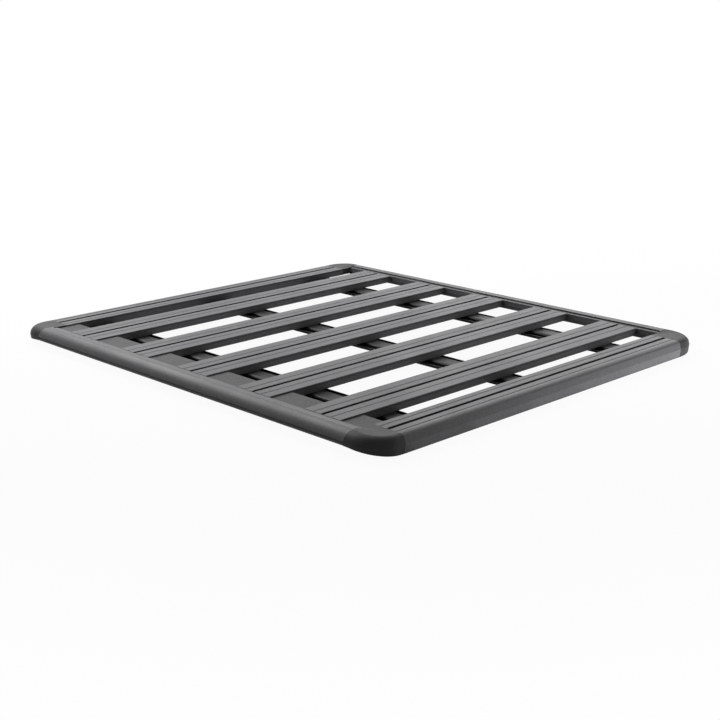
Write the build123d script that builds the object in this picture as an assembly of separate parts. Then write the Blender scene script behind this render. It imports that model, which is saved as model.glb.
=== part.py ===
from build123d import *
import math
import os

# A flat platform rack: slotted planks laid across three under-bars, closed by slotted end rails,
# crowned side rails and moulded corners. X runs along the planks, Y along the side rails, Z up.
# The origin is under the middle of the platform, at the lowest edge of the end rails.

# Overall outline
PLATFORM_LENGTH = 1528.0
PLATFORM_WIDTH = 1376.0
DECK_HEIGHT = 48.0
SEAT_GAP = 0.3

# Planks
PLANK_COUNT = 5
PLANK_WIDTH = 128.3
PLANK_HEIGHT = 21.5
PLANK_WALL = 2.0
PLANK_GROOVE_OFFSET = 31.0
EDGE_RADIUS = 1.2
END_BAY = 78.05

# Tee slot along the middle of each plank and end rail
SLOT_MOUTH = 11.5
SLOT_LIP = 2.0
SLOT_CHANNEL = 21.0
SLOT_DEPTH = 12.5

# Vee grooves beside the slots
GROOVE_WIDTH = 3.6
GROOVE_DEPTH = 1.4

# Step on the flanks of planks and end rails that carries the infill panels
SEAT_DROP = 5.6
SEAT_WIDTH = 1.5

# Front and rear rails: a slotted deck with a deep faceted skirt on the outside
RAIL_WIDTH = 103.2
RAIL_WALL = 2.2
RAIL_SLOT_INSET = 57.5
RAIL_GROOVE_OFFSET = 27.0
SHOULDER_WIDTH = 20.7
CREASE_INSET = 4.7
CREASE_DROP = 6.1
NOSE_DROP = 23.6
FOOT_INSET = 2.2
FOOT_WIDTH = 22.0
SKIRT_WIDTH = 30.0

# Side rails: a crowned tube with a raised lip and a ledge level with the deck
SIDE_WIDTH = 66.0
SIDE_WALL = 2.4
SIDE_DEPTH = 29.0
LIP_RISE = 4.7
LIP_INSET = 50.5
LEDGE_DROP = 0.6
CROWN_WIDTH = 33.0
CROWN_DROP = 22.7
BEAD_HEIGHT = 4.0
BEAD_DEPTH = 3.5
BEAD_TUCK = 1.8
LIP_FALL = 1.2
LIP_LINE = 0.9
REBATE_WIDTH = 6.0
REBATE_HEIGHT = 13.0
HEEL_RADIUS = 3.0

# Moulded corners
CORNER_RADIUS = 80.0
CORNER_WALL = 3.0
CORNER_END_WALL = 9.0
CORNER_SECTION_COUNT = 33
HOLLOW_SECTION_COUNT = 7
CORNER_POST = 14.0
CORNER_COVE = 12.0
RIM_MARGIN = 6.0
SPIGOT_LENGTH = 35.0
SPIGOT_HEIGHT = 18.0

# Under-bars below the planks
BAR_INSET = 229.0
BAR_HEIGHT = 23.0
BAR_HAT_WIDTH = 54.0
BAR_HAT_HEIGHT = 9.4
BAR_SHOULDER = 8.5
BAR_TRAY_WIDTH = 98.4
BAR_LIP_HEIGHT = 4.7
BAR_FOOT_WIDTH = 36.0
BAR_WALL = 2.5
BAR_WEB = 4.0

# Infill panels between the planks, beside the left side rail
PANEL_REACH = 77.5
PANEL_THICKNESS = 1.5
PANEL_FOLD = 9.0

# Heights and lines that several pieces share
UNDERSIDE = DECK_HEIGHT - PLANK_HEIGHT
LIP_TOP = DECK_HEIGHT + LIP_RISE
SIDE_BOTTOM = DECK_HEIGHT - SIDE_DEPTH
SEAT_LEVEL = DECK_HEIGHT - SEAT_DROP
HALF_LENGTH = PLATFORM_LENGTH / 2
HALF_WIDTH = PLATFORM_WIDTH / 2
SIDE_WALL_X = HALF_WIDTH - SIDE_WIDTH
RAIL_EDGE_Y = HALF_LENGTH - RAIL_WIDTH
CORNER_SIZE = RAIL_WIDTH
RIM_INNER = CORNER_SIZE - SIDE_WIDTH - RIM_MARGIN
CORNER_X = HALF_WIDTH - CORNER_SIZE
CORNER_Y = HALF_LENGTH - CORNER_SIZE
RAIL_GROOVES = (RAIL_SLOT_INSET - RAIL_GROOVE_OFFSET, RAIL_SLOT_INSET + RAIL_GROOVE_OFFSET)
BAR_X = HALF_WIDTH - BAR_INSET
END_PLANK_Y = RAIL_EDGE_Y - END_BAY - PLANK_WIDTH / 2
PLANK_PITCH = 2 * END_PLANK_Y / (PLANK_COUNT - 1)
PLANK_YS = [i * PLANK_PITCH - END_PLANK_Y for i in range(PLANK_COUNT)]


def area(*points):
    """Flat face inside a closed outline of straight edges."""
    return make_face(Polyline(*points, close=True))


def block(low_x, high_x, low_y, high_y):
    """Flat rectangle between two pairs of lines."""
    return Pos((low_x + high_x) / 2, (low_y + high_y) / 2) * Rectangle(high_x - low_x, high_y - low_y)


def tee_slot(middle):
    """Mouth and channel of a tee slot that opens upward at the deck."""
    lip_level = DECK_HEIGHT - SLOT_LIP
    mouth = block(middle - SLOT_MOUTH / 2, middle + SLOT_MOUTH / 2, lip_level, DECK_HEIGHT)
    channel = block(middle - SLOT_CHANNEL / 2, middle + SLOT_CHANNEL / 2, DECK_HEIGHT - SLOT_DEPTH, lip_level)
    return mouth + channel


def slot_walls(middle, wall):
    """The metal around a tee slot."""
    half = SLOT_CHANNEL / 2 + wall
    return block(middle - half, middle + half, DECK_HEIGHT - SLOT_DEPTH - wall, DECK_HEIGHT)


def web(middle, wall):
    """Upright web that backs a vee groove."""
    return block(middle - wall / 2, middle + wall / 2, UNDERSIDE, DECK_HEIGHT)


def vee_groove(middle):
    """Shallow vee in the deck."""
    half = GROOVE_WIDTH / 2
    bottom = (middle, DECK_HEIGHT - GROOVE_DEPTH)
    return area((middle - half, DECK_HEIGHT), bottom, (middle + half, DECK_HEIGHT))


def plank_section():
    """Plank profile: two chambers a side round a tee slot, with a seat step on both flanks."""
    half = PLANK_WIDTH / 2
    top = block(-half, half, SEAT_LEVEL, DECK_HEIGHT)
    top = fillet(top.vertices().group_by(Axis.Y)[-1], EDGE_RADIUS)
    body = top + block(-half - SEAT_WIDTH, half + SEAT_WIDTH, UNDERSIDE, SEAT_LEVEL)
    chambers = block(-half + PLANK_WALL, half - PLANK_WALL, UNDERSIDE + PLANK_WALL, DECK_HEIGHT - PLANK_WALL)
    chambers -= slot_walls(0, PLANK_WALL)
    for groove in (-PLANK_GROOVE_OFFSET, PLANK_GROOVE_OFFSET):
        chambers -= web(groove, PLANK_WALL)
        body -= vee_groove(groove)
    return body - chambers - tee_slot(0)


def make_plank(y):
    """One plank, from side rail to side rail."""
    length = 2 * (SIDE_WALL_X - SEAT_GAP)
    return Pos(0, y, 0) * extrude(Plane.YZ * plank_section(), amount=length / 2, both=True)


def shoulder_points(share):
    """Outline of the outer edge, blended from the end rail (0) to the side rail (1).

    Each point is its distance in from the outermost line, and its height.
    """
    front = {
        "start": (SHOULDER_WIDTH, DECK_HEIGHT),
        "crease": (CREASE_INSET, DECK_HEIGHT - CREASE_DROP),
        "nose": (0, DECK_HEIGHT - NOSE_DROP),
        "foot": (FOOT_INSET, 0),
        "heel": (FOOT_INSET + FOOT_WIDTH, 0),
        "skirt": (SKIRT_WIDTH, UNDERSIDE),
    }
    crown_end = LIP_TOP - CROWN_DROP
    side = {
        "start": (CROWN_WIDTH, LIP_TOP),
        "crease": (0, crown_end),
        "nose": (0, crown_end - BEAD_TUCK),
        "foot": (HEEL_RADIUS / 2, SIDE_BOTTOM),
        "heel": (SIDE_WIDTH - REBATE_WIDTH, SIDE_BOTTOM),
        "skirt": (SIDE_WIDTH, UNDERSIDE),
    }
    blended = {}
    for name in front:
        (front_in, front_z), (side_in, side_z) = front[name], side[name]
        blended[name] = (front_in + (side_in - front_in) * share, front_z + (side_z - front_z) * share)
    return blended


def shoulder_curve(start, crease):
    """Round that leaves the level top smoothly and ends at the crease."""
    return TangentArc(start, crease, tangent=(crease[0] - start[0], 0))


def rail_outline():
    """Outer shape of an end rail, in from its outermost line and up from the ground."""
    at = shoulder_points(0)
    seat_edge = RAIL_WIDTH + SEAT_WIDTH
    edges = shoulder_curve(at["start"], at["crease"])
    edges += Polyline(at["crease"], at["nose"], at["foot"], at["heel"], at["skirt"],
                      (seat_edge, UNDERSIDE), (seat_edge, SEAT_LEVEL),
                      (RAIL_WIDTH, SEAT_LEVEL), (RAIL_WIDTH, DECK_HEIGHT), at["start"])
    return make_face(edges)


def rail_chambers():
    """Hollows of an end rail: two beside and under its slot, and one inside the skirt."""
    at = shoulder_points(0)
    wall = RAIL_WALL
    roof, floor = DECK_HEIGHT - wall, UNDERSIDE + wall
    start = (SHOULDER_WIDTH, roof)
    crease = (CREASE_INSET + wall, DECK_HEIGHT - CREASE_DROP - wall / 2)
    edges = shoulder_curve(start, crease)
    edges += Polyline(crease, (at["nose"][0] + wall, at["nose"][1]), (FOOT_INSET + wall, wall),
                      (FOOT_INSET + FOOT_WIDTH - wall, wall), (SKIRT_WIDTH - wall, floor),
                      (RAIL_WIDTH - wall, floor), (RAIL_WIDTH - wall, roof), start)
    chambers = make_face(edges) - slot_walls(RAIL_SLOT_INSET, wall)
    for groove in RAIL_GROOVES:
        chambers -= web(groove, wall)
    return chambers


def rail_section():
    """End rail profile."""
    section = rail_outline() - rail_chambers() - tee_slot(RAIL_SLOT_INSET)
    for groove in RAIL_GROOVES:
        section -= vee_groove(groove)
    return section


def make_front_rail():
    """Front rail, from corner to corner."""
    across = Plane(origin=(0, -HALF_LENGTH, 0), x_dir=(0, 1, 0), z_dir=(1, 0, 0))
    return extrude(across * rail_section(), amount=CORNER_X, both=True)


def side_outline():
    """Outer shape of a side rail, in from its outermost line and up from the ground."""
    at = shoulder_points(1)
    ledge = DECK_HEIGHT - LEDGE_DROP
    rebate_top = SIDE_BOTTOM + REBATE_HEIGHT
    rebate_in = SIDE_WIDTH - REBATE_WIDTH
    edges = shoulder_curve(at["start"], at["crease"])
    edges += Polyline(at["crease"], (0, SIDE_BOTTOM), (rebate_in, SIDE_BOTTOM), (rebate_in, rebate_top),
                      (SIDE_WIDTH, rebate_top), (SIDE_WIDTH, ledge), (LIP_INSET, ledge),
                      (LIP_INSET, LIP_TOP - LIP_FALL), at["start"])
    return make_face(edges)


def side_chambers():
    """Hollow of a side rail, split by a web under its lip."""
    wall = SIDE_WALL
    floor, roof = SIDE_BOTTOM + wall, LIP_TOP - wall
    ledge = DECK_HEIGHT - LEDGE_DROP - wall
    rebate_in = SIDE_WIDTH - REBATE_WIDTH - wall
    rebate_top = SIDE_BOTTOM + REBATE_HEIGHT + wall
    start = (CROWN_WIDTH, roof)
    outer_wall = wall + BEAD_DEPTH
    crease = (outer_wall, LIP_TOP - CROWN_DROP - wall)
    edges = shoulder_curve(start, crease)
    edges += Polyline(crease, (outer_wall, floor), (rebate_in, floor), (rebate_in, rebate_top),
                      (SIDE_WIDTH - wall, rebate_top), (SIDE_WIDTH - wall, ledge), (LIP_INSET - wall, ledge),
                      (LIP_INSET - wall, roof - LIP_FALL), start)
    return make_face(edges) - block(LIP_INSET - 2 * wall, LIP_INSET - wall, SIDE_BOTTOM, LIP_TOP)


def side_section():
    """Side rail profile, with the groove between crown and heel bead and the fine line beside the lip."""
    outline = side_outline()
    heel = outline.vertices().sort_by(Axis.Y).group_by(Axis.Y)[0].sort_by(Axis.X)[0]
    section = fillet(heel, HEEL_RADIUS)
    crown_end = LIP_TOP - CROWN_DROP
    section -= area((0, crown_end), (BEAD_DEPTH, crown_end - BEAD_TUCK), (0, SIDE_BOTTOM + BEAD_HEIGHT))
    section -= block(CROWN_WIDTH, CROWN_WIDTH + LIP_LINE, LIP_TOP - LIP_LINE, LIP_TOP)
    return section - side_chambers()


def make_left_side_rail():
    """Left side rail, from corner to corner."""
    along = Plane(origin=(-HALF_WIDTH, 0, 0), x_dir=(1, 0, 0), z_dir=(0, -1, 0))
    return extrude(along * side_section(), amount=CORNER_Y, both=True)


def corner_plane(turn):
    """Upright plane through the corner's axis, from the side rail (0) round to the front rail (1)."""
    angle = math.pi + turn * math.pi / 2
    outward = Vector(math.cos(angle), math.sin(angle), 0)
    return Plane(origin=(-CORNER_X, -CORNER_Y, 0), x_dir=outward, z_dir=outward.cross(Vector(0, 0, 1)))


def corner_reach(turn):
    """Distance from the corner's axis to its rounded outline."""
    angle = min(turn, 1 - turn) * math.pi / 2
    straight = CORNER_SIZE - CORNER_RADIUS
    if CORNER_SIZE * math.tan(angle) < straight:
        return CORNER_SIZE / math.cos(angle)
    along = straight * (math.cos(angle) + math.sin(angle))
    return along + math.sqrt(along ** 2 - 2 * straight ** 2 + CORNER_RADIUS ** 2)


def corner_rim(at, reach):
    """Closed outline of the corner's rim, measured out from its axis."""
    out = {name: (reach - inward, height) for name, (inward, height) in at.items()}
    edges = shoulder_curve(out["start"], out["crease"])
    edges += Polyline(out["crease"], out["nose"], out["foot"], out["heel"], out["skirt"],
                      (RIM_INNER, UNDERSIDE), (RIM_INNER, DECK_HEIGHT), out["start"])
    return make_face(edges)


def corner_hollow(at, reach):
    """Closed outline of the space under the corner's skin, open below and level on top."""
    roof = DECK_HEIGHT - CORNER_WALL
    upright = reach - FOOT_INSET - CORNER_WALL
    below = at["foot"][1] - DECK_HEIGHT
    return area((reach - SHOULDER_WIDTH, roof), (upright, roof - CORNER_COVE), (upright, below),
                (CORNER_POST, below), (CORNER_POST, roof))


def swept_corner(outline, end_wall, count):
    """Solid through the outline as it turns from the side rail to the front rail, short of both end walls."""
    sections = []
    for step in range(count):
        turn = end_wall + (1 - 2 * end_wall) * step / (count - 1)
        share = 1 - turn * turn * (3 - 2 * turn)
        sections.append(corner_plane(turn) * outline(shoulder_points(share), corner_reach(turn)))
    return loft(sections, ruled=True)


def side_spigot():
    """Tongue that plugs into the side rail's hollow, under its crown."""
    gap = SIDE_WALL + SEAT_GAP
    section = block(CROWN_WIDTH / 2, LIP_INSET - SIDE_WALL - gap,
                    SIDE_BOTTOM + gap, SIDE_BOTTOM + SPIGOT_HEIGHT)
    seam = Plane(origin=(-HALF_WIDTH, -CORNER_Y, 0), x_dir=(1, 0, 0), z_dir=(0, -1, 0))
    return extrude(seam * section, amount=-SPIGOT_LENGTH)


def front_spigot():
    """Tongue that plugs into the front rail's skirt."""
    gap = RAIL_WALL + SEAT_GAP
    section = block(FOOT_INSET + gap, FOOT_INSET + FOOT_WIDTH - gap, gap, gap + SPIGOT_HEIGHT)
    seam = Plane(origin=(-CORNER_X, -HALF_LENGTH, 0), x_dir=(0, 1, 0), z_dir=(1, 0, 0))
    return extrude(seam * section, amount=SPIGOT_LENGTH)


def corner_flat():
    """Level part of the corner, from its axis out into the rim."""
    side = RIM_INNER + RIM_MARGIN
    middle = (-CORNER_X - side / 2, -CORNER_Y - side / 2, DECK_HEIGHT - PLANK_HEIGHT / 2)
    return Pos(middle) * Box(side, side, PLANK_HEIGHT)


def make_front_left_corner():
    """Moulded corner: a thin skin that turns one rail's edge into the other's, with end walls and spigots."""
    quarter_round = CORNER_SIZE * math.pi / 2
    skin = swept_corner(corner_rim, 0, CORNER_SECTION_COUNT) + corner_flat()
    hollow = swept_corner(corner_hollow, CORNER_END_WALL / quarter_round, HOLLOW_SECTION_COUNT)
    return skin - hollow + side_spigot() + front_spigot()


def bar_head():
    """Upper part of an under-bar: a hollow round-shouldered hat, on a tray with a lip at each edge."""
    half_hat, half_tray = BAR_HAT_WIDTH / 2, BAR_TRAY_WIDTH / 2
    floor = UNDERSIDE - BAR_HAT_HEIGHT
    hat = block(-half_hat, half_hat, floor - BAR_WALL, UNDERSIDE)
    shoulders = hat.vertices().group_by(Axis.Y)[-1]
    hat = fillet(shoulders, BAR_SHOULDER)
    half_floor = half_hat - BAR_WALL
    half_roof = half_floor - BAR_SHOULDER + BAR_WALL
    roof = UNDERSIDE - BAR_WALL
    chamber = area((-half_floor, floor), (-half_roof, roof), (half_roof, roof), (half_floor, floor))
    tray = block(-half_tray, half_tray, floor - BAR_WALL, floor)
    lip = block(half_tray - BAR_WALL, half_tray, floor, floor + BAR_LIP_HEIGHT)
    return tray + lip + mirror(lip, about=Plane.YZ) + hat - chamber


def make_bar(x):
    """Under-bar that carries the planks and both end rails, with a foot flange for the legs' clamps."""
    foot = UNDERSIDE - BAR_HEIGHT
    tray_bottom = UNDERSIDE - BAR_HAT_HEIGHT - BAR_WALL
    section = bar_head() + block(-BAR_WEB / 2, BAR_WEB / 2, foot, tray_bottom)
    section += block(-BAR_FOOT_WIDTH / 2, BAR_FOOT_WIDTH / 2, foot, foot + BAR_WALL)
    half = HALF_LENGTH - SKIRT_WIDTH - SEAT_GAP
    return Pos(x, 0, 0) * extrude(Plane.XZ * section, amount=half, both=True)


def make_panel(low_y, high_y):
    """Infill panel seated on the steps of its two neighbours, folded down along its inner edge."""
    outer = -SIDE_WALL_X + SEAT_GAP
    inner = outer + PANEL_REACH
    top = SEAT_LEVEL + PANEL_THICKNESS
    section = block(outer, inner, SEAT_LEVEL, top)
    plate = extrude(Plane.XZ * section, amount=-(high_y - low_y - 2 * SEAT_GAP))
    fold_section = block(inner - PANEL_THICKNESS, inner, top - PANEL_FOLD, top)
    fold_inset = SEAT_WIDTH + SEAT_GAP
    fold = extrude(Plane.XZ * fold_section, amount=-(high_y - low_y - 2 * fold_inset))
    return Pos(0, low_y + SEAT_GAP, 0) * plate + Pos(0, low_y + fold_inset, 0) * fold


def make_all():
    """Every piece by name."""
    pieces = {}
    for number, y in enumerate(PLANK_YS, 1):
        pieces[f"plank_{number}"] = make_plank(y)
    pieces["front_rail"] = make_front_rail()
    pieces["rear_rail"] = mirror(pieces["front_rail"], about=Plane.XZ)
    pieces["left_side_rail"] = make_left_side_rail()
    pieces["right_side_rail"] = mirror(pieces["left_side_rail"], about=Plane.YZ)
    pieces["front_left_corner"] = make_front_left_corner()
    pieces["front_right_corner"] = mirror(pieces["front_left_corner"], about=Plane.YZ)
    for side in ("left", "right"):
        pieces[f"rear_{side}_corner"] = mirror(pieces[f"front_{side}_corner"], about=Plane.XZ)
    for name, x in (("left", -BAR_X), ("centre", 0), ("right", BAR_X)):
        pieces[f"{name}_under_bar"] = make_bar(x)
    half = PLANK_WIDTH / 2
    fronts = [-RAIL_EDGE_Y] + [y + half for y in PLANK_YS]
    backs = [y - half for y in PLANK_YS] + [RAIL_EDGE_Y]
    for number, (low_y, high_y) in enumerate(zip(fronts, backs), 1):
        pieces[f"infill_panel_{number}"] = make_panel(low_y, high_y)
    return pieces


os.makedirs("parts", exist_ok=True)
for node, piece in make_all().items():
    export_step(piece, f"parts/{node}.step")
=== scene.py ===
import math

import bmesh
import bpy
from bpy.props import FloatProperty, FloatVectorProperty, PointerProperty
from mathutils import Matrix, Vector


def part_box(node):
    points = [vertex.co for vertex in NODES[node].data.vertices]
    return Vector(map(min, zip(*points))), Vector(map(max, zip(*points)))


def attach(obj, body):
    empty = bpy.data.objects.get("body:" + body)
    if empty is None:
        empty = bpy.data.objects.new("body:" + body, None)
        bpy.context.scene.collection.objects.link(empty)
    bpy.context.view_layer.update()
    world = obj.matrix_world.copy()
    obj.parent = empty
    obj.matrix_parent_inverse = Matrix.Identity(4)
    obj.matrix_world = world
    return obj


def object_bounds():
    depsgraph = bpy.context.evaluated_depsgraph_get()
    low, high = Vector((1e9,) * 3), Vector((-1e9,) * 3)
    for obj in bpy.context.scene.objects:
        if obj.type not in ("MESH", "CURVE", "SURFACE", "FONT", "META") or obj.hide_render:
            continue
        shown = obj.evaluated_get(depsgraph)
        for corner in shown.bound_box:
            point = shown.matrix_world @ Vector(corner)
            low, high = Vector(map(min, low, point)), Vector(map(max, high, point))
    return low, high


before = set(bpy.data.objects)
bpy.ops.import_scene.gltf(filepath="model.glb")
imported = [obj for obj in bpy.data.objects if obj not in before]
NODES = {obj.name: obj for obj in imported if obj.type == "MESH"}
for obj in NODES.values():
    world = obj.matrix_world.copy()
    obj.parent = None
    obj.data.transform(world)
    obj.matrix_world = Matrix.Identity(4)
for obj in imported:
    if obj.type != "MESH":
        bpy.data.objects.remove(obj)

bl_info = {
    "name": "Flat platform roof rack",
    "version": (1, 0, 0),
    "blender": (4, 5, 0),
    "location": "3D View > Sidebar > Rack",
    "description": "Finishes, fixings and studio for a flat platform roof rack",
    "category": "Object",
}

MM = 0.001
UP = Vector((0, 0, 1))
DOWN = Vector((0, 0, -1))
CAD_LOW, CAD_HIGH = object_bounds()
PLANKS = sorted(name for name in NODES if name.startswith("plank"))
END_RAILS = ["front_rail", "rear_rail"]
SIDE_RAILS = ["left_side_rail", "right_side_rail"]
CORNERS = sorted(name for name in NODES if name.endswith("corner"))
UNDER_BARS = sorted(name for name in NODES if name.endswith("under_bar"))
PANELS = sorted(name for name in NODES if name.startswith("infill"))

# Places on the solids that carry the fixings
BAR_TRAY_UNDER = 14.6 * MM
RAIL_SLOT_INSET = 57.5 * MM
SPIGOT_INSET = 31.0 * MM
SPIGOT_MIDDLE = 17.5 * MM
SKIRT_HEEL = Vector((0, 24.2 * MM, 0))
SKIRT_TOP = Vector((0, 30.0 * MM, 26.5 * MM))
SKIRT_SCREW_HEIGHT = 10.0 * MM

# Profiles of the fixings, as shares of their widths and heights, from the seat outwards
BOLT_WASHER = ((1.0, 0.0), (1.0, 0.12), (0.86, 0.26))
BOLT_HEXAGON = (0.34, 0.93)
BOLT_DISH = ((0.47, 1.0), (0.36, 1.0), (0.3, 0.93))
SCREW_DOME = ((1.0, 0.0), (1.0, 0.2), (0.92, 0.52), (0.74, 0.82), (0.5, 1.0))
SCREW_SOCKET = (0.96, 0.4)
LOOP_SIDES = 24
SHARP_ANGLE = math.radians(30)

# Where most of a noise's values lie, the specks' weight against the clouds, and where their sum lies
NOISE_LOW, NOISE_HIGH = 0.3, 0.7
SPECK_WEIGHT = 0.7
MOTTLE_LOW, MOTTLE_HIGH = 0.3, 1.3
# How far the clouds swing a skin's roughness to either side
ROUGHNESS_SWING = 0.05
# How nearly the rounded normal follows the face where an edge keeps its coat, and where it is fully paled,
# partly by rubbing and partly by a painted highlight
EDGE_KEPT, EDGE_RUBBED_AND_HIGHLIT = 0.985, 0.8
# Share of open sky over a recess where the painted shade is fully dark, and over a face that is fully clear
# of it
SKY_RECESS, SKY_CLEAR = 0.5, 0.95

# The softboxes' places, the points that they face, and their widths in metres
SOFTBOXES = {
    "overhead": (Vector((0.0, 2.0, 2.0)), Vector((0, 0, 0)), 2.0),
    "right": (Vector((2.2, 0.6, 1.4)), Vector((0, 0, 0)), 2.0),
    "far": (Vector((2.4, 2.4, 0.7)), Vector((0, 0, 0.05)), 1.3),
    "front": (Vector((1.0, -1.4, 0.35)), Vector((0.3, -0.6, 0.03)), 0.5),
}

# A row of lamps on the floor along the front rail, each brighter than the one to its left
FLOOR_PANELS = 7
FLOOR_PANEL_WIDTH = 0.22
FLOOR_PANEL_DEPTH = 0.12
FLOOR_ROW_START = Vector((-0.66, -0.823, 0.0005))

# Half the floor's width, and its white glow: a little less within FADE_START of the middle, where it keeps
# the rack's shadow, and full from FADE_END on
FLOOR_HALF = 20
FADE_START = 1.2
FADE_END = 2.6
GLOW_NEAR_RACK = 0.95

# The photograph's view
CAMERA_PLACE = Vector((-2.672, -2.7273, 1.048))
CAMERA_AIM = Vector((-0.24048, -0.26481, 0.05615))
SENSOR_WIDTH = 36


def linear(code):
    """Linear red, green and blue of an sRGB hex colour."""
    parts = [int(code[i:i + 2], 16) / 255 for i in (0, 2, 4)]
    return tuple(c / 12.92 if c <= 0.04045 else ((c + 0.055) / 1.055) ** 2.4 for c in parts)


# Near-black of the shade painted into recesses
PAINTED_SHADE_TONE = linear("080808")
WHITE = (1, 1, 1, 1)


class RackColours(bpy.types.PropertyGroup):
    """Colours of the rack's finishes."""

    coat: FloatVectorProperty(
        name="Powder coat", description="Charcoal of the coated extrusions",
        subtype="COLOR", size=3, default=linear("4d4d4f"))
    coat_speck: FloatVectorProperty(
        name="Coat specks", description="Paler specks in the powder coat",
        subtype="COLOR", size=3, default=linear("5e5e60"))
    # Also the painted highlight along the coat's edges, besides rubbing
    coat_edge: FloatVectorProperty(
        name="Coat edges", description="Tone of the coat where edges are rubbed",
        subtype="COLOR", size=3, default=linear("7a7a7d"))
    # The under-bars' tone is darker than the coat as painted shade for their place between and under the
    # planks
    bar: FloatVectorProperty(
        name="Under-bars", description="Black of the coated under-bars",
        subtype="COLOR", size=3, default=linear("161617"))
    nylon: FloatVectorProperty(
        name="Corners", description="Black of the moulded corners",
        subtype="COLOR", size=3, default=linear("1c1c1d"))
    nylon_speck: FloatVectorProperty(
        name="Corner specks", description="Paler specks of the moulded grain",
        subtype="COLOR", size=3, default=linear("2a2a2b"))
    zinc: FloatVectorProperty(
        name="Fixings", description="Black zinc of bolts and screws",
        subtype="COLOR", size=3, default=linear("3a3b3d"))
    zinc_bare: FloatVectorProperty(
        name="Worn fixings", description="Bright metal at the edges of bolts and screws",
        subtype="COLOR", size=3, default=linear("8a8c8f"))
    floor: FloatVectorProperty(
        name="Floor", description="White of the studio floor",
        subtype="COLOR", size=3, default=linear("e6e6e6"))


class RackFixings(bpy.types.PropertyGroup):
    """Sizes of the bolts and screws."""

    bolt_offset: FloatProperty(
        name="Bolt offset", description="From the bar's middle to each bolt",
        default=37 * MM, unit="LENGTH")
    bolt_flats: FloatProperty(
        name="Bolt across flats", description="Width of the bolt's hexagon",
        default=10 * MM, unit="LENGTH")
    bolt_height: FloatProperty(
        name="Bolt head height", description="From the bar to the end of the head",
        default=6.6 * MM, unit="LENGTH")
    flange_width: FloatProperty(
        name="Bolt flange", description="Diameter of the bolt's own washer face",
        default=14.2 * MM, unit="LENGTH")
    screw_width: FloatProperty(
        name="Screw head", description="Diameter of the corner screws' heads",
        default=9.5 * MM, unit="LENGTH")
    screw_height: FloatProperty(
        name="Screw head height", description="Height of the corner screws' heads",
        default=2.75 * MM, unit="LENGTH")
    socket_flats: FloatProperty(
        name="Screw socket", description="Width of the hexagon socket in a corner screw",
        default=3 * MM, unit="LENGTH")


class RackStudio(bpy.types.PropertyGroup):
    """Lens and lamps of the studio."""

    lens: FloatProperty(
        name="Lens", description="Focal length of the camera",
        default=65.414, unit="CAMERA")
    overhead: FloatProperty(
        name="Overhead", description="Power of the softbox over the rear rail",
        default=77, unit="POWER")
    right: FloatProperty(
        name="Right", description="Power of the softbox over the right side rail",
        default=26, unit="POWER")
    far: FloatProperty(
        name="Far", description="Power of the low softbox behind the far corner",
        default=6, unit="POWER")
    front: FloatProperty(
        name="Front", description="Power of the low softbox before the front rail's right end",
        default=4.2, unit="POWER")
    strip: FloatProperty(
        name="Strip", description="Power of the brightest panel on the floor along the front rail",
        default=0.18, unit="POWER")
    ambient: FloatProperty(
        name="Ambient", description="Strength of the room's own light",
        default=0.04, subtype="FACTOR")


def per_metre(size_mm):
    """Texture scale whose pattern repeats about every size_mm."""
    return 1 / (size_mm * MM)


def add_node(tree, kind, inputs=None, **settings):
    """Adds a node, sets its properties, and fills its inputs with values or links."""
    node = tree.nodes.new(kind)
    for name, value in settings.items():
        setattr(node, name, value)
    for socket, value in (inputs or {}).items():
        if isinstance(value, bpy.types.NodeSocket):
            tree.links.new(value, node.inputs[socket])
        else:
            node.inputs[socket].default_value = value
    return node


def new_material(name):
    """A material with its node tree and its shader."""
    material = bpy.data.materials.new(name)
    material.use_nodes = True
    return material, material.node_tree, material.node_tree.nodes["Principled BSDF"]


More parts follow.
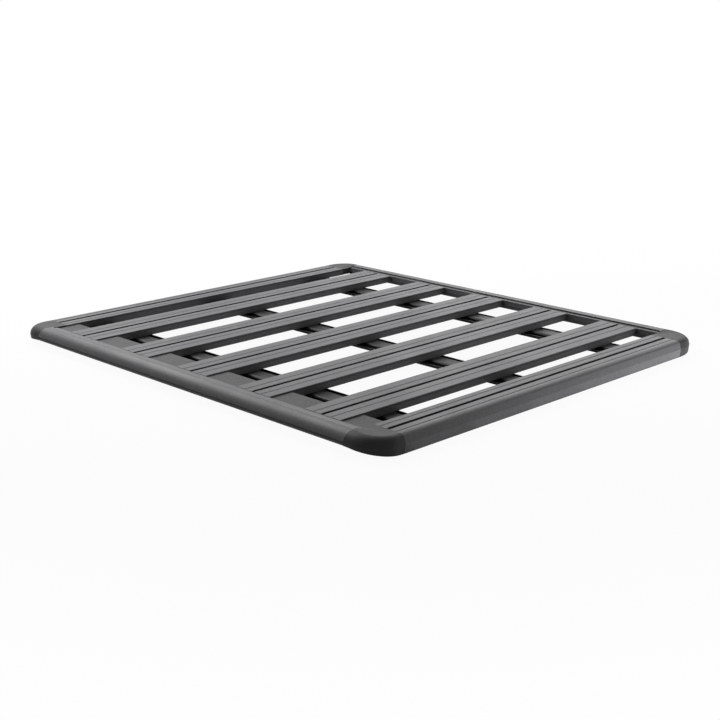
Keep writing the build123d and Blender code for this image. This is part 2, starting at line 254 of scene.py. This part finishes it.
def textured_skin(name, tones, roughness, gloss, grit_mm, grit_height_mm, speck_mm, cloud_mm, wear_and_highlight_mm,
                  recess_mm=16.0, alone=True):
    """Matt skin with a raised grit, specks of a second tone, slow clouds and paler edges in a third tone,
    partly rubbing and partly a painted highlight.

    Painted shade darkens recesses within recess_mm of what covers them: the piece alone, or its neighbours
    too.
    """
    dark, light, rubbed_and_highlit = tones
    material, tree, shader = new_material(name)
    coords = add_node(tree, "ShaderNodeTexCoord").outputs["Object"]
    grit = add_node(tree, "ShaderNodeTexNoise",
                    {"Vector": coords, "Scale": per_metre(grit_mm), "Detail": 2.0, "Roughness": 0.6})
    speck = add_node(tree, "ShaderNodeTexNoise",
                     {"Vector": coords, "Scale": per_metre(speck_mm), "Detail": 1.0, "Roughness": 0.5})
    cloud = add_node(tree, "ShaderNodeTexNoise",
                     {"Vector": coords, "Scale": per_metre(cloud_mm), "Detail": 3.0, "Roughness": 0.55})

    speckle = add_node(tree, "ShaderNodeMapRange",
                       {"Value": speck.outputs["Fac"], "From Min": NOISE_LOW, "From Max": NOISE_HIGH})
    mottle = add_node(tree, "ShaderNodeMath",
                      {0: speckle.outputs["Result"], 1: SPECK_WEIGHT, 2: cloud.outputs["Fac"]},
                      operation="MULTIPLY_ADD")
    share = add_node(tree, "ShaderNodeMapRange",
                     {"Value": mottle.outputs["Value"], "From Min": MOTTLE_LOW, "From Max": MOTTLE_HIGH})
    tone = add_node(tree, "ShaderNodeMix",
                    {"Factor": share.outputs["Result"], "A": (*dark, 1), "B": (*light, 1)},
                    data_type="RGBA")

    # Painted shade: where little open sky lies within reach, the base colour goes towards near-black,
    # standing in for the shade in slots, grooves and under neighbouring parts
    cover = add_node(tree, "ShaderNodeAmbientOcclusion", {"Distance": recess_mm * MM},
                     samples=8, only_local=alone)
    clear = add_node(tree, "ShaderNodeMapRange",
                     {"Value": cover.outputs["AO"], "From Min": SKY_RECESS, "From Max": SKY_CLEAR})
    shaded = add_node(tree, "ShaderNodeMix",
                      {"Factor": clear.outputs["Result"], "A": (*PAINTED_SHADE_TONE, 1), "B": tone.outputs[2]},
                      data_type="RGBA")

    # Paler edges, partly rubbing and partly a painted highlight along edges that catch the light
    rounded = add_node(tree, "ShaderNodeBevel", {"Radius": wear_and_highlight_mm * MM}, samples=4)
    facing = add_node(tree, "ShaderNodeNewGeometry")
    turn = add_node(tree, "ShaderNodeVectorMath",
                    {0: rounded.outputs["Normal"], 1: facing.outputs["Normal"]}, operation="DOT_PRODUCT")
    edge = add_node(tree, "ShaderNodeMapRange",
                    {"Value": turn.outputs["Value"], "From Min": EDGE_KEPT, "From Max": EDGE_RUBBED_AND_HIGHLIT})
    rub_and_highlight = add_node(tree, "ShaderNodeMath",
                   {0: edge.outputs["Result"], 1: cloud.outputs["Fac"]}, operation="MULTIPLY")
    worn_and_highlit = add_node(tree, "ShaderNodeMix",
                    {"Factor": rub_and_highlight.outputs["Value"], "A": shaded.outputs[2], "B": (*rubbed_and_highlit, 1)},
                    data_type="RGBA")
    tree.links.new(worn_and_highlit.outputs[2], shader.inputs["Base Color"])

    matt = add_node(tree, "ShaderNodeMapRange",
                    {"Value": cloud.outputs["Fac"], "From Min": NOISE_LOW, "From Max": NOISE_HIGH,
                     "To Min": roughness - ROUGHNESS_SWING, "To Max": roughness + ROUGHNESS_SWING})
    tree.links.new(matt.outputs["Result"], shader.inputs["Roughness"])
    bump = add_node(tree, "ShaderNodeBump",
                    {"Height": grit.outputs["Fac"], "Distance": grit_height_mm * MM, "Strength": 0.6})
    tree.links.new(bump.outputs["Normal"], shader.inputs["Normal"])
    shader.inputs["Specular IOR Level"].default_value = gloss
    return material


def dress(names, material):
    """Gives CAD nodes a material."""
    if not names:
        raise RuntimeError(f"The frame has no node for {material.name}")
    for name in names:
        NODES[name].data.materials.clear()
        NODES[name].data.materials.append(material)


def rail_coat(name, colours, wear_and_highlight_mm, **recess):
    """Fine-texture powder coat: charcoal and sandy, dark face on and pale where it is seen at a low angle.

    Its grit is about 0.3 mm, drawn at 0.9 mm, and its specks at 5 mm, because finer ones don't show.
    """
    return textured_skin(name, (colours.coat, colours.coat_speck, colours.coat_edge),
                         roughness=0.5, gloss=0.24, grit_mm=0.9, grit_height_mm=0.1,
                         speck_mm=5.0, cloud_mm=160, wear_and_highlight_mm=wear_and_highlight_mm, **recess)


class RACK_OT_coat_extrusions(bpy.types.Operator):
    """Powder coat on the planks and the end rails."""

    bl_idname = "rack.coat_extrusions"
    bl_label = "Coat extrusions"

    def execute(self, context):
        # The coat's crisp extruded edges are paled only in a hair line, partly by rubbing and partly by a
        # painted highlight, and painted shade takes the tee slots nearly black.
        coat = rail_coat("powder_coated_aluminium", context.scene.rack_colours, wear_and_highlight_mm=0.5)
        dress(PLANKS + END_RAILS, coat)
        return {"FINISHED"}


class RACK_OT_coat_side_rails(bpy.types.Operator):
    """Powder coat on the side rails."""

    bl_idname = "rack.coat_side_rails"
    bl_label = "Coat side rails"

    def execute(self, context):
        # The planks' coat, paler along the lip and the bead, partly by rubbing where straps and hands pass
        # and partly by a painted highlight; its painted shade reaches only 4 mm into recesses.
        coat = rail_coat("powder_coated_rail_aluminium", context.scene.rack_colours,
                         wear_and_highlight_mm=2.5, recess_mm=4.0)
        dress(SIDE_RAILS, coat)
        return {"FINISHED"}


class RACK_OT_coat_panels(bpy.types.Operator):
    """Powder coat on the folded infill panels."""

    bl_idname = "rack.coat_panels"
    bl_label = "Coat infill panels"

    def execute(self, context):
        colours = context.scene.rack_colours
        # The same coat on folded sheet, a little coarser and duller, paler along the folds, partly thin
        # coat and partly a painted highlight, with painted shade in its recesses.
        # Its grit is about 0.4 mm, drawn at 1.2 mm so that it shows.
        coat = textured_skin("powder_coated_sheet", (colours.nylon_speck, colours.coat, colours.coat_edge),
                             roughness=0.6, gloss=0.18, grit_mm=1.2, grit_height_mm=0.2,
                             speck_mm=5.0, cloud_mm=90, wear_and_highlight_mm=1.0)
        dress(PANELS, coat)
        return {"FINISHED"}


class RACK_OT_coat_bars(bpy.types.Operator):
    """Black coat on the under-bars."""

    bl_idname = "rack.coat_bars"
    bl_label = "Coat under-bars"

    def execute(self, context):
        colours = context.scene.rack_colours
        # A thinner coat, its blacker tone painted shade that keeps the bars dark between the planks, and
        # painted shade reaching 80 mm from neighbours makes them darkest close under them.
        # Its grit is about 0.3 mm, drawn at 0.9 mm so that it shows.
        coat = textured_skin("black_coated_aluminium", (colours.bar, colours.nylon_speck, colours.coat),
                             roughness=0.42, gloss=0.1, grit_mm=0.9, grit_height_mm=0.1,
                             speck_mm=5.0, cloud_mm=120, wear_and_highlight_mm=1.0, recess_mm=80.0, alone=False)
        dress(UNDER_BARS, coat)
        return {"FINISHED"}


class RACK_OT_mould_corners(bpy.types.Operator):
    """Spark-grained nylon on the moulded corners."""

    bl_idname = "rack.mould_corners"
    bl_label = "Finish corners"

    def execute(self, context):
        colours = context.scene.rack_colours
        # Glass-filled nylon from a spark-eroded mould: blacker than the rails, with a soft leathery grain.
        # The grain is about 0.5 mm, drawn at 1.4 mm so that it shows.
        nylon = textured_skin("moulded_nylon", (colours.nylon, colours.nylon_speck, colours.coat),
                              roughness=0.55, gloss=0.18, grit_mm=1.4, grit_height_mm=0.15,
                              speck_mm=4.0, cloud_mm=60, wear_and_highlight_mm=2.0)
        dress(CORNERS, nylon)
        return {"FINISHED"}


def black_zinc(colours):
    """Black-passivated zinc plate: near-black, satin, worn to bright metal on its corners.

    The plate's grain is finer than 0.1 mm, drawn at 0.6 mm so that it shows close up.
    """
    name = "black_zinc_plated_steel"
    if name in bpy.data.materials:
        return bpy.data.materials[name]
    material = textured_skin(name, (colours.zinc, colours.coat_edge, colours.zinc_bare),
                             roughness=0.4, gloss=0.5, grit_mm=0.6, grit_height_mm=0.03,
                             speck_mm=1.5, cloud_mm=8, wear_and_highlight_mm=0.5)
    material.node_tree.nodes["Principled BSDF"].inputs["Metallic"].default_value = 0.8
    return material


def middle(name):
    """Middle of a CAD node's box."""
    low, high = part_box(name)
    return (Vector(low) + Vector(high)) / 2


def seat(place, out):
    """Puts a fixing that is modelled along +Z on a surface whose outward side is given."""
    return Matrix.Translation(place) @ out.to_track_quat("Z", "Y").to_matrix().to_4x4()


def each_once(items):
    """The items in order, without repeats."""
    return list(dict.fromkeys(items))


def polygon(bm, sides, radius, height):
    """The edges of a regular polygon round the axis."""
    circle = bmesh.ops.create_circle(bm, segments=sides, radius=radius,
                                     matrix=Matrix.Translation((0, 0, height)))
    return each_once(edge for vert in circle["verts"] for edge in vert.link_edges)


def ring(bm, radius, height):
    """A round loop of edges."""
    return polygon(bm, LOOP_SIDES, radius, height)


def hexagon(bm, flats, height):
    """A hexagonal loop with as many edges as a ring."""
    edges = polygon(bm, 6, flats / math.sqrt(3), height)
    cut = bmesh.ops.subdivide_edges(bm, edges=edges, cuts=LOOP_SIDES // 6 - 1)
    return [item for item in cut["geom"] if isinstance(item, bmesh.types.BMEdge)]


def skin_loops(bm, loops, place):
    """Bridges a stack of loops, closes both ends and seats the result."""
    for lower, upper in zip(loops, loops[1:]):
        bmesh.ops.bridge_loops(bm, edges=lower + upper)
    for end in (loops[0], loops[-1]):
        bmesh.ops.contextual_create(bm, geom=end)
    verts = each_once(vert for loop in loops for edge in loop for vert in edge.verts)
    faces = each_once(face for vert in verts for face in vert.link_faces)
    bmesh.ops.recalc_face_normals(bm, faces=faces)
    bmesh.ops.transform(bm, matrix=place, verts=verts)


def add_flange_bolt(bm, sizes, place):
    """Hexagon bolt head on its own washer face, with a dished end."""
    washer = sizes.flange_width / 2
    flats = sizes.bolt_flats
    height = sizes.bolt_height
    loops = [ring(bm, width * washer, level * height) for width, level in BOLT_WASHER]
    loops += [hexagon(bm, flats, level * height) for level in BOLT_HEXAGON]
    loops += [ring(bm, width * flats, level * height) for width, level in BOLT_DISH]
    skin_loops(bm, loops, place)


def add_socket_screw(bm, sizes, place):
    """Button head with a hexagon socket."""
    radius = sizes.screw_width / 2
    height = sizes.screw_height
    loops = [ring(bm, width * radius, level * height) for width, level in SCREW_DOME]
    loops += [hexagon(bm, sizes.socket_flats, level * height) for level in SCREW_SOCKET]
    skin_loops(bm, loops, place)


def place_piece(bm, name, material):
    """Turns a bmesh into a piece that rides on the rack, smooth but for its sharp edges."""
    for face in bm.faces:
        face.smooth = True
    for edge in bm.edges:
        edge.smooth = edge.calc_face_angle(0) < SHARP_ANGLE
    mesh = bpy.data.meshes.new(name)
    bm.to_mesh(mesh)
    bm.free()
    mesh.materials.append(material)
    piece = bpy.data.objects.new(name, mesh)
    bpy.context.scene.collection.objects.link(piece)
    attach(piece, "root")


class RACK_OT_bolt_bars(bpy.types.Operator):
    """Flange bolts under each bar, two at every plank and end rail that it carries."""

    bl_idname = "rack.bolt_bars"
    bl_label = "Bolt under-bars"

    def execute(self, context):
        sizes = context.scene.rack_fixings
        zinc = black_zinc(context.scene.rack_colours)
        rows = [middle(name).y for name in PLANKS]
        rows += [CAD_LOW[1] + RAIL_SLOT_INSET, CAD_HIGH[1] - RAIL_SLOT_INSET]
        for bar in UNDER_BARS:
            bm = bmesh.new()
            for y in rows:
                for side in (-1, 1):
                    under_tray = Vector((middle(bar).x + side * sizes.bolt_offset, y, BAR_TRAY_UNDER))
                    add_flange_bolt(bm, sizes, seat(under_tray, DOWN))
            place_piece(bm, f"{bar}_bolts", zinc)
        return {"FINISHED"}


class RACK_OT_screw_corners(bpy.types.Operator):
    """Socket screws that hold the corners' spigots in the side rails and the end rails."""

    bl_idname = "rack.screw_corners"
    bl_label = "Screw corners"

    def execute(self, context):
        sizes = context.scene.rack_fixings
        zinc = black_zinc(context.scene.rack_colours)
        side_low, side_high = (Vector(corner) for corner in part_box("left_side_rail"))
        end_rail_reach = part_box("front_rail")[1][0]
        slope = (SKIRT_TOP - SKIRT_HEEL).normalized()
        spot = SKIRT_HEEL + slope * (SKIRT_SCREW_HEIGHT / slope.z)
        for name in CORNERS:
            x_side = 1 if "right" in name else -1
            y_side = 1 if "rear" in name else -1
            under_rail = Vector((x_side * (CAD_HIGH[0] - SPIGOT_INSET),
                                 y_side * (side_high.y - SPIGOT_MIDDLE), side_low.z))
            on_skirt = Vector((x_side * (end_rail_reach - SPIGOT_MIDDLE),
                               y_side * (CAD_HIGH[1] - spot.y), spot.z))
            bm = bmesh.new()
            add_socket_screw(bm, sizes, seat(under_rail, DOWN))
            add_socket_screw(bm, sizes, seat(on_skirt, Vector((0, -y_side * slope.z, -slope.y))))
            place_piece(bm, f"{name}_screws", zinc)
        return {"FINISHED"}


def seen_directly(tree):
    """1 for rays from the camera, from gloss and through glass, which see the white background."""
    rays = add_node(tree, "ShaderNodeLightPath")
    gloss = add_node(tree, "ShaderNodeMath",
                     {0: rays.outputs["Is Camera Ray"], 1: rays.outputs["Is Glossy Ray"]},
                     operation="MAXIMUM")
    glass = add_node(tree, "ShaderNodeMath",
                     {0: gloss.outputs["Value"], 1: rays.outputs["Is Transmission Ray"]},
                     operation="MAXIMUM")
    return glass.outputs["Value"]


def set_floor(colour):
    """A wide white floor that keeps a faint shadow of the rack."""
    bm = bmesh.new()
    bmesh.ops.create_grid(bm, x_segments=1, y_segments=1, size=FLOOR_HALF)
    mesh = bpy.data.meshes.new("studio_floor")
    bm.to_mesh(mesh)
    bm.free()
    floor = bpy.data.objects.new("studio_floor", mesh)
    bpy.context.scene.collection.objects.link(floor)
    # Matt floor paint, which glows where it is seen directly and lights the rack only by what it scatters
    material, tree, shader = new_material("painted_floor")
    shader.inputs["Base Color"].default_value = (*colour, 1)
    shader.inputs["Roughness"].default_value = 0.9
    glow = add_node(tree, "ShaderNodeEmission", {"Color": WHITE, "Strength": 1.0})
    coords = add_node(tree, "ShaderNodeTexCoord").outputs["Object"]
    reach = add_node(tree, "ShaderNodeVectorMath", {0: coords}, operation="LENGTH")
    fade = add_node(tree, "ShaderNodeMapRange",
                    {"Value": reach.outputs["Value"], "From Min": FADE_START, "From Max": FADE_END,
                     "To Min": GLOW_NEAR_RACK, "To Max": 1.0},
                    interpolation_type="SMOOTHSTEP")
    share = add_node(tree, "ShaderNodeMath",
                     {0: seen_directly(tree), 1: fade.outputs["Result"]}, operation="MULTIPLY")
    mix = add_node(tree, "ShaderNodeMixShader",
                   {0: share.outputs["Value"], 1: shader.outputs["BSDF"], 2: glow.outputs["Emission"]})
    tree.links.new(mix.outputs["Shader"], tree.nodes["Material Output"].inputs["Surface"])
    mesh.materials.append(material)


def set_world(ambient):
    """White where it is seen, and a dimmer even light on the rack."""
    world = bpy.data.worlds.new("studio_room")
    world.use_nodes = True
    tree = world.node_tree
    room = tree.nodes["Background"]
    room.inputs["Color"].default_value = WHITE
    room.inputs["Strength"].default_value = ambient
    white = add_node(tree, "ShaderNodeBackground", {"Color": WHITE, "Strength": 1.0})
    mix = add_node(tree, "ShaderNodeMixShader",
                   {0: seen_directly(tree), 1: room.outputs["Background"], 2: white.outputs["Background"]})
    tree.links.new(mix.outputs["Shader"], tree.nodes["World Output"].inputs["Surface"])
    bpy.context.scene.world = world


def add_softbox(name, place, aim, width, depth, power):
    """A flat lamp that faces a point and doesn't show."""
    lamp = bpy.data.lights.new(name, "AREA")
    lamp.shape = "RECTANGLE"
    lamp.size = width
    lamp.size_y = depth
    lamp.energy = power
    softbox = bpy.data.objects.new(name, lamp)
    bpy.context.scene.collection.objects.link(softbox)
    softbox.location = place
    softbox.rotation_euler = (aim - place).to_track_quat("-Z", "Y").to_euler()
    softbox.visible_camera = False


def set_camera(lens):
    """A camera at the photograph's view."""
    camera = bpy.data.objects.new("photograph_view", bpy.data.cameras.new("photograph_view"))
    bpy.context.scene.collection.objects.link(camera)
    camera.data.sensor_width = SENSOR_WIDTH
    camera.data.lens = lens
    camera.location = CAMERA_PLACE
    camera.rotation_euler = (CAMERA_AIM - CAMERA_PLACE).to_track_quat("-Z", "Y").to_euler()
    bpy.context.scene.camera = camera


class RACK_OT_set_stage(bpy.types.Operator):
    """White floor, soft lamps and the photograph's camera."""

    bl_idname = "rack.set_stage"
    bl_label = "Set stage"

    def execute(self, context):
        studio = context.scene.rack_studio
        set_floor(context.scene.rack_colours.floor)
        set_world(studio.ambient)
        for name, (place, aim, width) in SOFTBOXES.items():
            add_softbox(f"{name}_softbox", place, aim, width, width, getattr(studio, name))
        for step in range(1, FLOOR_PANELS + 1):
            place = FLOOR_ROW_START + Vector((FLOOR_PANEL_WIDTH * step, 0, 0))
            power = studio.strip * step / FLOOR_PANELS
            add_softbox(f"floor_panel_{step}", place, place + UP,
                        FLOOR_PANEL_WIDTH, FLOOR_PANEL_DEPTH, power)
        set_camera(studio.lens)
        context.scene.view_settings.view_transform = "Standard"
        return {"FINISHED"}


class RACK_PT_workbench(bpy.types.Panel):
    """Lists the steps that dress the rack."""

    bl_label = "Rack"
    bl_idname = "RACK_PT_workbench"
    bl_space_type = "VIEW_3D"
    bl_region_type = "UI"
    bl_category = "Rack"

    def draw(self, context):
        for step in STEPS:
            self.layout.operator(step.bl_idname)


STEPS = (RACK_OT_coat_extrusions, RACK_OT_coat_side_rails, RACK_OT_coat_panels, RACK_OT_coat_bars,
         RACK_OT_mould_corners, RACK_OT_bolt_bars, RACK_OT_screw_corners, RACK_OT_set_stage)
GROUPS = {"rack_colours": RackColours, "rack_fixings": RackFixings, "rack_studio": RackStudio}


def register():
    for item in (*GROUPS.values(), *STEPS, RACK_PT_workbench):
        bpy.utils.register_class(item)
    for name, group in GROUPS.items():
        setattr(bpy.types.Scene, name, PointerProperty(type=group))


def unregister():
    for name in GROUPS:
        delattr(bpy.types.Scene, name)
    for item in (RACK_PT_workbench, *reversed(STEPS), *GROUPS.values()):
        bpy.utils.unregister_class(item)


def main():
    register()
    bpy.ops.rack.coat_extrusions()
    bpy.ops.rack.coat_side_rails()
    bpy.ops.rack.coat_panels()
    bpy.ops.rack.coat_bars()
    bpy.ops.rack.mould_corners()
    bpy.ops.rack.bolt_bars()
    bpy.ops.rack.screw_corners()
    bpy.ops.rack.set_stage()


if __name__ == "__main__":
    main()
